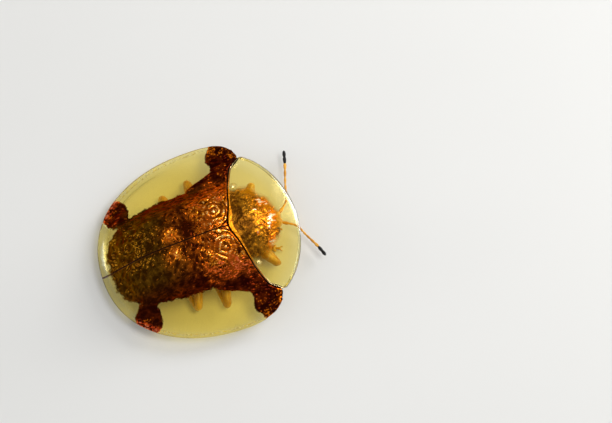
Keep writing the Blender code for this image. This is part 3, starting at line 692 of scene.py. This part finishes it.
# Scutellum: the small three-cornered plate that locks the bases of the two wing cases. It is the same hard
# red-gold skin, a little swollen, with a rounded edge.
SCUTELLUM_HALF_BASE, SCUTELLUM_WALL = 0.38, 0.3
SCUTELLUM_TIP_X, SCUTELLUM_TIP_HALF_WIDTH = 1.44, 0.02
SCUTELLUM_BASE_GAP, SCUTELLUM_SWELL, SCUTELLUM_SINK = 0.02, 0.06, 0.02
SCUTELLUM_CELLS = 24

bm = bmesh.new()
bmesh.ops.create_grid(bm, x_segments=SCUTELLUM_CELLS, y_segments=SCUTELLUM_CELLS, size=1)
ridge_layer = bm.verts.layers.float.new("ridge")
inside_layer = bm.verts.layers.float.new("inside")
out_layer = bm.verts.layers.float.new("out")
for vert in bm.verts:
    ahead, across = (vert.co.x + 1) / 2, vert.co.y
    base_x = seam_edge(across * SCUTELLUM_HALF_BASE, -1) - SCUTELLUM_BASE_GAP
    x = SCUTELLUM_TIP_X + (base_x - SCUTELLUM_TIP_X) * ahead
    y = across * (SCUTELLUM_TIP_HALF_WIDTH + (SCUTELLUM_HALF_BASE - SCUTELLUM_TIP_HALF_WIDTH) * ahead)
    swollen = (1 - across**4) * (1 - (2 * ahead - 1) ** 4)
    vert.co = Vector((x, y, wing_case_top(x, y) + SCUTELLUM_SWELL * swollen - SCUTELLUM_SINK))
    vert[ridge_layer] = 0.3 + 0.5 * swollen
    vert[inside_layer] = 1.0
    vert[out_layer] = 1.0
to_piece("scutellum_plate", bm, wing_paint, "scutellum", SCUTELLUM_WALL)

# Trunk: the hard amber underside of the thorax and the abdomen. It grows wider than the legs' hips, fills the
# dome of the shell, and its plates overlap backwards like tiles.
TRUNK_X, TRUNK_REACH, TRUNK_HALF_WIDTH = -0.45, 4.55, 2.6
TRUNK_WAIST_Z, TRUNK_END_DROP, BELLY_Z = 1.6, 0.35, 1.0
TRUNK_REAR_X, ABDOMEN_CUT_X, PROTHORAX_CUT_X, PROTHORAX_FRONT_X = -5.0, -1.2, 2.3, 3.7
SUTURE_OVERLAP = 0.2
STERNITE_PITCH, STERNITE_STEP, CREASE_DEPTH, CREASE_HALF_WIDTH = 0.78, 0.1, 0.03, 0.06
TRUNK_BELOW_SHELL = 0.96
SEAM_REARMOST_X, SEAM_FOREMOST_X = 2.0, 3.2
TRUNK_SEGMENTS = 96


def shell_top(x, y):
    if x < SEAM_REARMOST_X:
        return wing_case_top(x, y)
    if x > SEAM_FOREMOST_X:
        return shield_top(x, y)
    return min(wing_case_top(x, y), shield_top(x, y))


def belly_height(x, y):
    along, across = (x - TRUNK_X) / TRUNK_REACH, y / TRUNK_HALF_WIDTH
    down = math.sqrt(max(1 - along**2 - across**2, 0))
    waist = TRUNK_WAIST_Z - TRUNK_END_DROP * along**4
    return waist - down * (waist - BELLY_Z)


def trunk_mesh(rear_x, front_x, front_round=0.0):
    """One length of the trunk: a ball drawn out along the body, its ends rounded off, the front more so."""
    bm = bmesh.new()
    bmesh.ops.create_uvsphere(bm, u_segments=TRUNK_SEGMENTS, v_segments=TRUNK_SEGMENTS, radius=1)
    bmesh.ops.rotate(bm, matrix=Matrix.Rotation(math.pi / 2, 3, "Y"), verts=bm.verts)
    middle, half = (front_x + rear_x) / 2, (front_x - rear_x) / 2
    for vert in bm.verts:
        unit = vert.co.copy()
        along = math.copysign(abs(unit.x) ** 0.9, unit.x)
        x = middle + half * along
        ring = math.hypot(unit.y, unit.z) or 1
        turn_y, turn_z = unit.y / ring, unit.z / ring
        whole = min(abs((x - TRUNK_X) / TRUNK_REACH), 1)
        front = front_round * smoothstep(-0.6, 0.4, along)
        girth = math.sqrt(1 - whole**2) * min(ring * (1.9 - front), 1) ** (0.6 + 0.4 * front)
        waist = TRUNK_WAIST_Z - TRUNK_END_DROP * whole**4
        y = TRUNK_HALF_WIDTH * girth * turn_y
        if turn_z >= 0:
            top = shell_top(x, y) - TRUNK_BELOW_SHELL
            z = waist + girth ** (0.5 + 0.5 * front) * turn_z**0.6 * max(top - waist, 0.02)
        else:
            behind = (max(ABDOMEN_CUT_X - x, 0) / STERNITE_PITCH) % 1
            plate = STERNITE_STEP * smoothstep(0.0, 0.85, behind) * (1 - smoothstep(0.9, 1.0, behind))
            crease = CREASE_DEPTH * math.exp(-((y / CREASE_HALF_WIDTH) ** 2)) * smoothstep(-1.2, -0.6, x)
            z = waist + girth * turn_z * (waist - BELLY_Z - plate - crease)
        vert.co = Vector((x, y, z))
    return bm


AMBER = (0.60, 0.27, 0.03, 1)
DARK_AMBER = (0.26, 0.08, 0.008, 1)
PALE_AMBER = (0.85, 0.50, 0.09, 1)


def amber_paint(name, dark, mean, pale, pits_a_mm, roughness):
    """Hard amber skin with a soft gloss, darker in its creases and, by painted shade, in its pits."""
    paint = Paint(name, Coat_Weight=0.35, Coat_Roughness=0.15)
    paint.finish(Subsurface_Weight=0.12, Subsurface_Scale=0.2 * MM)
    patches = paint.noise(1.3, detail=3)
    grain = paint.noise(7.0, detail=2)
    pits = 1 - paint.cells(pits_a_mm).ramp(0.05, 0.35)
    colour = paint.mix((patches + (grain - 0.5) * 0.4).ramp(0.3, 0.7), mean, pale)
    # Painted shade darkens the pits.
    colour = paint.mix(pits * 0.55, colour, dark)
    paint.finish(Base_Color=colour, Roughness=roughness - 0.08 + grain * 0.2)
    paint.bump(grain * 0.3 - pits, 0.02, 0.7)
    return paint


plate_paint = amber_paint("amber_plates", DARK_AMBER, AMBER, PALE_AMBER, 5.0, 0.38)
for name, node, rear_x, front_x, front_round in (
    ("belly", "abdomen", TRUNK_REAR_X, ABDOMEN_CUT_X + SUTURE_OVERLAP, 0.0),
    ("chest", "thorax", ABDOMEN_CUT_X - SUTURE_OVERLAP, PROTHORAX_CUT_X + SUTURE_OVERLAP, 0.0),
    ("neck_ring", "prothorax", PROTHORAX_CUT_X - SUTURE_OVERLAP, PROTHORAX_FRONT_X, 0.9),
):
    to_piece(name, trunk_mesh(rear_x, front_x, front_round), plate_paint, node)

# Head: a small rounded capsule of the same amber skin, held under the neck shield by its neck. A big dark eye
# of many facets fills each side, and the lip, jaws and palps hang under its front edge.
HEAD_X, HEAD_Z = 4.75, 1.22
HEAD_HALF = Vector((0.75, 0.78, 0.52))
FURROW_DEPTH, FURROW_HALF_WIDTH = 0.06, 0.05
BROW_HEIGHT, BROW_Y, BROW_HALF_WIDTH = 0.07, 0.3, 0.12
NECK_STRETCH, NECK_FROM_MIDDLE = 1.2, 0.25
SOCKET_RADIUS, SOCKET_DEPTH = 0.42, 0.35
EYE_CENTRE = Vector((4.85, 0.72, 1.3))
EYE_HALF = Vector((0.34, 0.3, 0.38))


def ball(bm, centre, half, u_segments=32, v_segments=24, turn=None):
    """Adds a ball with three half-axes, its poles along its own X, and returns its vertices."""
    made = bmesh.ops.create_uvsphere(bm, u_segments=u_segments, v_segments=v_segments, radius=1)["verts"]
    place = Matrix.Translation(centre) @ (turn or Matrix.Identity(4)) @ Matrix.Diagonal((*half, 1))
    bmesh.ops.transform(bm, matrix=place @ Matrix.Rotation(math.pi / 2, 4, "Y"), verts=made)
    return made


bm = bmesh.new()
for vert in ball(bm, Vector((HEAD_X, 0, HEAD_Z)), HEAD_HALF, 64, 48):
    front = smoothstep(HEAD_X + 0.1, HEAD_X + 0.6, vert.co.x)
    furrow = FURROW_DEPTH * math.exp(-((vert.co.y / FURROW_HALF_WIDTH) ** 2)) * front
    brow = BROW_HEIGHT * math.exp(-(((abs(vert.co.y) - BROW_Y) / BROW_HALF_WIDTH) ** 2)) * front
    socket = EYE_CENTRE - Vector((vert.co.x, abs(vert.co.y), vert.co.z))
    depth = max(SOCKET_RADIUS - Vector((socket.x / 0.85, socket.y * 0.8, socket.z)).length, 0)
    neck = NECK_STRETCH * max(HEAD_X - NECK_FROM_MIDDLE - vert.co.x, 0)
    vert.co.x += brow - furrow - neck
    vert.co.y -= math.copysign(depth * SOCKET_DEPTH, vert.co.y)
to_piece("head_capsule", bm, plate_paint, "head")

EYE_BLACK = (0.010, 0.005, 0.004, 1)
EYE_BROWN = (0.07, 0.025, 0.01, 1)
FACETS_A_MM = 22.0
eye_paint = Paint("eye", Coat_Weight=0.6)
facets = eye_paint.cells(FACETS_A_MM)
sheen = eye_paint.noise(2.0, detail=1)
eye_paint.finish(
    Base_Color=eye_paint.mix(sheen.ramp(0.35, 0.7), EYE_BLACK, EYE_BROWN),
    Roughness=0.16 + facets * 0.3,
)
eye_paint.bump(1 - facets.ramp(0.1, 0.6), 0.01, 0.8)
for side, name, node in ((1, "eye_ball_left", "eye_left"), (-1, "eye_ball_right", "eye_right")):
    bm = bmesh.new()
    centre = Vector((EYE_CENTRE.x, side * EYE_CENTRE.y, EYE_CENTRE.z))
    for vert in ball(bm, centre, EYE_HALF, 48, 36):
        hollow = vert.co.x - centre.x
        vert.co.y -= side * 0.05 * max(hollow, 0)
    to_piece(name, bm, eye_paint, node)

MOUTH_X, MOUTH_Z = 5.15, 0.74
LIP_HALF = Vector((0.32, 0.38, 0.16))
JAWS_AND_PALPS = (
    ((5.2, 0.24, -0.04), (5.42, 0.08, -0.24), 0.11),
    ((5.05, 0.34, -0.04), (5.2, 0.52, -0.14), 0.08),
    ((5.2, 0.52, -0.14), (5.32, 0.66, -0.26), 0.07),
)
LIMB_AMBER = (0.50, 0.25, 0.022, 1)
PALE_LIMB_AMBER = (0.70, 0.41, 0.055, 1)
limb_paint = amber_paint("amber_limbs", DARK_AMBER, LIMB_AMBER, PALE_LIMB_AMBER, 8.0, 0.34)
bm = bmesh.new()
for vert in ball(bm, Vector((MOUTH_X, 0, MOUTH_Z)), LIP_HALF, 40, 24):
    vert.co.z += 0.10 * max(5.25 - vert.co.x, 0)
for side in (1, -1):
    for base, tip, thick in JAWS_AND_PALPS:
        start, end = (Vector((x, side * y, MOUTH_Z + z)) for x, y, z in (base, tip))
        turn = (end - start).to_track_quat("X", "Z").to_matrix().to_4x4()
        ball(bm, (start + end) / 2, Vector(((end - start).length * 0.62, thick, thick)), 20, 14, turn)
to_piece("mouth_group", bm, limb_paint, "mouthparts")

# Feelers: eleven small beads on a thread each, amber, with the last two swollen and black. They spring from
# the face between the eyes and curve out under the front of the neck shield.
BEAD_LENGTHS = (1.5, 0.8, 0.9, 0.95, 0.95, 1.0, 1.0, 1.0, 1.05, 1.15, 1.5)
FIRST_CLUB_BEAD = 9
BEAD_RADIUS, CLUB_SWELL, ROOT_SWELL = 0.075, 0.03, 0.03
BEAD_OVERLAP, CLUB_OVERLAP = 0.64, 0.78
FEELER_ROUTES = {
    "left": (
        (5.42, 0.3, 1.12), (6.18, 1.0, 0.88), (6.42, 1.95, 0.76), (6.84, 3.25, 0.78), (7.05, 4.07, 0.85)
    ),
    "right": (
        (5.42, -0.3, 1.12), (6.26, -0.75, 0.88), (6.62, -1.45, 0.76), (7.1, -2.4, 0.78), (7.37, -3.1, 0.85)
    ),
}


def route_point(route, share):
    """A point of the smooth Catmull-Rom curve through the route's own points."""
    spans = len(route) - 1
    span = min(int(share * spans), spans - 1)
    t = share * spans - span
    before, start = route[max(span - 1, 0)], route[span]
    end, after = route[span + 1], route[min(span + 2, spans)]
    bend = 2 * before - 5 * start + 4 * end - after
    twist = -1 * before + 3 * start - 3 * end + after
    return 0.5 * (2 * start + (end - before) * t + bend * t**2 + twist * t**3)


def feeler_mesh(route):
    """Beads drawn out along a route, each widest near its front end."""
    route = [Vector(point) for point in route]
    bm = bmesh.new()
    tip_layer = bm.verts.layers.float.new("tip")
    total, done = sum(BEAD_LENGTHS), 0.0
    for index, length in enumerate(BEAD_LENGTHS):
        first, last = done / total, (done + length) / total
        done += length
        start, end = route_point(route, first), route_point(route, last)
        in_club = index >= FIRST_CLUB_BEAD
        swell = CLUB_SWELL * smoothstep(6, FIRST_CLUB_BEAD, index)
        thick = BEAD_RADIUS + swell + (ROOT_SWELL if index == 0 else 0)
        turn = (end - start).to_track_quat("X", "Z").to_matrix().to_4x4()
        overlap = CLUB_OVERLAP if in_club else BEAD_OVERLAP
        half = Vector(((end - start).length * overlap, thick, thick * 0.9))
        for vert in ball(bm, (start + end) / 2, half, 20, 18, turn):
            club = (vert.co - start).dot((end - start).normalized()) / (end - start).length
            axis = start.lerp(end, club)
            vert.co = axis + (vert.co - axis) * (0.9 + 0.2 * smoothstep(0, 0.8, club))
            vert[tip_layer] = 1.0 if in_club else 0.0
    return bm


FEELER_AMBER = (0.58, 0.24, 0.02, 1)
PALE_FEELER_AMBER = (0.85, 0.42, 0.05, 1)
CLUB_BLACK = (0.006, 0.005, 0.005, 1)
feeler_paint = Paint("feeler", Specular_IOR_Level=0.25)
fuzz = feeler_paint.noise(24.0, detail=2)
shade = feeler_paint.mix(feeler_paint.noise(2.0).ramp(0.3, 0.7), FEELER_AMBER, PALE_FEELER_AMBER)
feeler_paint.finish(
    Base_Color=feeler_paint.mix(feeler_paint.attribute("tip"), shade, CLUB_BLACK),
    Roughness=0.4 + fuzz * 0.2,
)
feeler_paint.bump(fuzz, 0.01, 0.5)
for side_name, route in FEELER_ROUTES.items():
    to_piece(f"feeler_{side_name}", feeler_mesh(route), feeler_paint, f"antenna_{side_name}")

# Legs: six short amber legs folded under the shell, each set in the chest by its hip. It has a thick thigh, a
# shin, three heart-shaped toe pads, flat below, and a last joint with two claws.
# Each pair has the places of its hip, knee, ankle and claws along and beside the body, and its knees' height.
LEGS = {
    "front": ((3.1, 0.9), (4.45, 2.8), (3.9, 1.35), (4.85, 1.7), 0.88),
    "middle": ((1.1, 1.15), (0.45, 4.35), (0.1, 1.75), (-0.35, 2.65), 0.78),
    "hind": ((-0.65, 1.2), (-1.35, 3.9), (-1.85, 1.65), (-2.5, 2.5), 0.78),
}
HIP_DEPTH, ANKLE_Z, CLAW_Z = 0.14, 0.26, 0.16
HIP_HALF = Vector((0.25, 0.42, 0.25))
THIGH_START, THIGH_END, THIGH_BELLY = 0.16, 0.23, 0.12
SHIN_START, SHIN_END, SHIN_BELLY = 0.19, 0.18, 0.02
TOE_HALF_WIDTHS = (0.19, 0.22, 0.30)
TOE_HALF_HEIGHT, SOLE_DEPTH, TOE_Z = 0.15, 0.11, 0.125
LAST_JOINT_START, LAST_JOINT_END, LAST_JOINT_Z = 0.06, 0.10, 0.17
CLAW_RADIUS, CLAW_BEND_RADIUS, CLAW_TIP_RADIUS, CLAW_DROP = 0.05, 0.035, 0.008, 0.11


def limb(bm, start, end, start_half, end_half, belly=0.0, sides=24, rings=28):
    """Adds a rounded limb from start to end, its thickness running between the two, fuller by the belly."""
    along = end - start
    turn = along.to_track_quat("X", "Z").to_matrix().to_4x4()
    made = ball(bm, Vector((0, 0, 0)), Vector((1, 1, 1)), sides, rings)
    for vert in made:
        share = (vert.co.x + 1) / 2
        round_off = math.hypot(vert.co.y, vert.co.z) or 1
        body = start_half + (end_half - start_half) * share + belly * math.sin(math.pi * share)
        radius = body * min(round_off * 1.8, 1) ** 0.7
        y, z = vert.co.y / round_off * radius, vert.co.z / round_off * radius
        vert.co = Vector((share * along.length, y, z))
    bmesh.ops.transform(bm, matrix=Matrix.Translation(start) @ turn, verts=made)


def toe_pad(bm, centre, turn, length, half_width):
    """Adds one toe joint with two lobes in front, flat below."""
    for vert in ball(bm, Vector((0, 0, 0)), Vector((length, half_width, TOE_HALF_HEIGHT)), 28, 20):
        ahead = smoothstep(0, length, vert.co.x)
        cleft = math.exp(-((vert.co.y / (half_width * 0.35)) ** 2)) * ahead
        vert.co.x -= 0.35 * length * cleft
        vert.co.y *= 0.75 + 0.35 * ahead
        vert.co.z = max(vert.co.z, -SOLE_DEPTH)
        vert.co = turn @ vert.co + centre


for pair, (hip, knee, ankle, claw, knee_z) in LEGS.items():
    for side, side_name in ((1, "left"), (-1, "right")):
        hip_at = Vector((hip[0], side * hip[1], belly_height(*hip) - HIP_DEPTH))
        knee_at = Vector((knee[0], side * knee[1], knee_z))
        ankle_at = Vector((ankle[0], side * ankle[1], ANKLE_Z))
        claw_at = Vector((claw[0], side * claw[1], CLAW_Z))
        bm = bmesh.new()
        ball(bm, hip_at, HIP_HALF, 28, 20)
        limb(bm, hip_at, knee_at, THIGH_START, THIGH_END, THIGH_BELLY)
        limb(bm, knee_at, ankle_at, SHIN_START, SHIN_END, SHIN_BELLY)
        forward = claw_at - ankle_at
        forward.z = 0
        turn = forward.to_track_quat("X", "Z").to_matrix().to_4x4()
        for index, half_width in enumerate(TOE_HALF_WIDTHS):
            centre = ankle_at + forward * (0.12 + 0.24 * index)
            centre.z = TOE_Z
            toe_pad(bm, centre, turn, forward.length * 0.17, half_width)
        last = ankle_at + forward * 0.62
        last.z = LAST_JOINT_Z
        limb(bm, last, claw_at, LAST_JOINT_START, LAST_JOINT_END, sides=16, rings=14)
        across = Vector((-forward.y, forward.x, 0)).normalized()
        for spread in (1, -1):
            root = claw_at - forward * 0.04 + across * spread * 0.05
            bend = root + forward * 0.12 + across * spread * 0.09
            tip = bend + forward * 0.08 - Vector((0, 0, CLAW_DROP))
            limb(bm, root, bend, CLAW_RADIUS, CLAW_BEND_RADIUS, sides=12, rings=10)
            limb(bm, bend, tip, CLAW_BEND_RADIUS, CLAW_TIP_RADIUS, sides=12, rings=10)
        node = f"leg_{pair}_{side_name}"
        to_piece(f"{pair}_leg_{side_name}", bm, limb_paint, node)

# Floor and light: a pale plain floor and four round soft lamps, two in front, one high above the head and a
# low one behind the rear rim. The sky is even and dim, so that the crinkles glint against it.
FLOOR_HALF_SIDE, FLOOR_ROUGHNESS = 1.0, 0.9
FLOOR_GREY = (0.74, 0.73, 0.70, 1)
FLOOR_WHITE = (0.78, 0.77, 0.74, 1)
SKY_COLOUR, SKY_BRIGHTNESS = (0.95, 0.97, 1.0, 1), 0.47

floor_mesh = bpy.data.meshes.new("floor")
bm = bmesh.new()
bmesh.ops.create_grid(bm, x_segments=1, y_segments=1, size=FLOOR_HALF_SIDE)
bm.to_mesh(floor_mesh)
bm.free()
floor = bpy.data.objects.new("floor", floor_mesh)
floor_paint = Paint("floor", Roughness=FLOOR_ROUGHNESS)
tone = floor_paint.noise(0.05, detail=2)
floor_paint.finish(Base_Color=floor_paint.mix(tone, FLOOR_GREY, FLOOR_WHITE))
floor_mesh.materials.append(floor_paint.material)
bpy.context.scene.collection.objects.link(floor)

# Each lamp has its bearing and height in degrees, its width in millimetres and its brightness.
LAMPS = {
    "front": (20, 33, 80, 8),
    "high": (-10, 68, 70, 8),
    "low": (5, 14, 60, 5),
    "rear": (157, 18, 60, 5),
}
LAMP_DISTANCE = 170
for name, (azimuth, elevation, size, brightness) in LAMPS.items():
    azimuth, elevation = math.radians(azimuth), math.radians(elevation)
    level = Vector((math.cos(azimuth), math.sin(azimuth), 0)) * math.cos(elevation)
    place = (level + Vector((0, 0, math.sin(elevation)))) * LAMP_DISTANCE
    lamp = bpy.data.lights.new(name, "AREA")
    lamp.shape = "DISK"
    lamp.size = size * MM
    lamp.energy = brightness * math.pi**2 * (size * MM / 2) ** 2
    made = bpy.data.objects.new(name, lamp)
    made.location = place * MM
    made.rotation_euler = (-made.location).to_track_quat("-Z", "Y").to_euler()
    bpy.context.scene.collection.objects.link(made)

world = bpy.data.worlds.new("sky")
world.use_nodes = True
world.node_tree.nodes["Background"].inputs["Color"].default_value = SKY_COLOUR
world.node_tree.nodes["Background"].inputs["Strength"].default_value = SKY_BRIGHTNESS
bpy.context.scene.world = world
bpy.context.scene.view_settings.view_transform = "Standard"
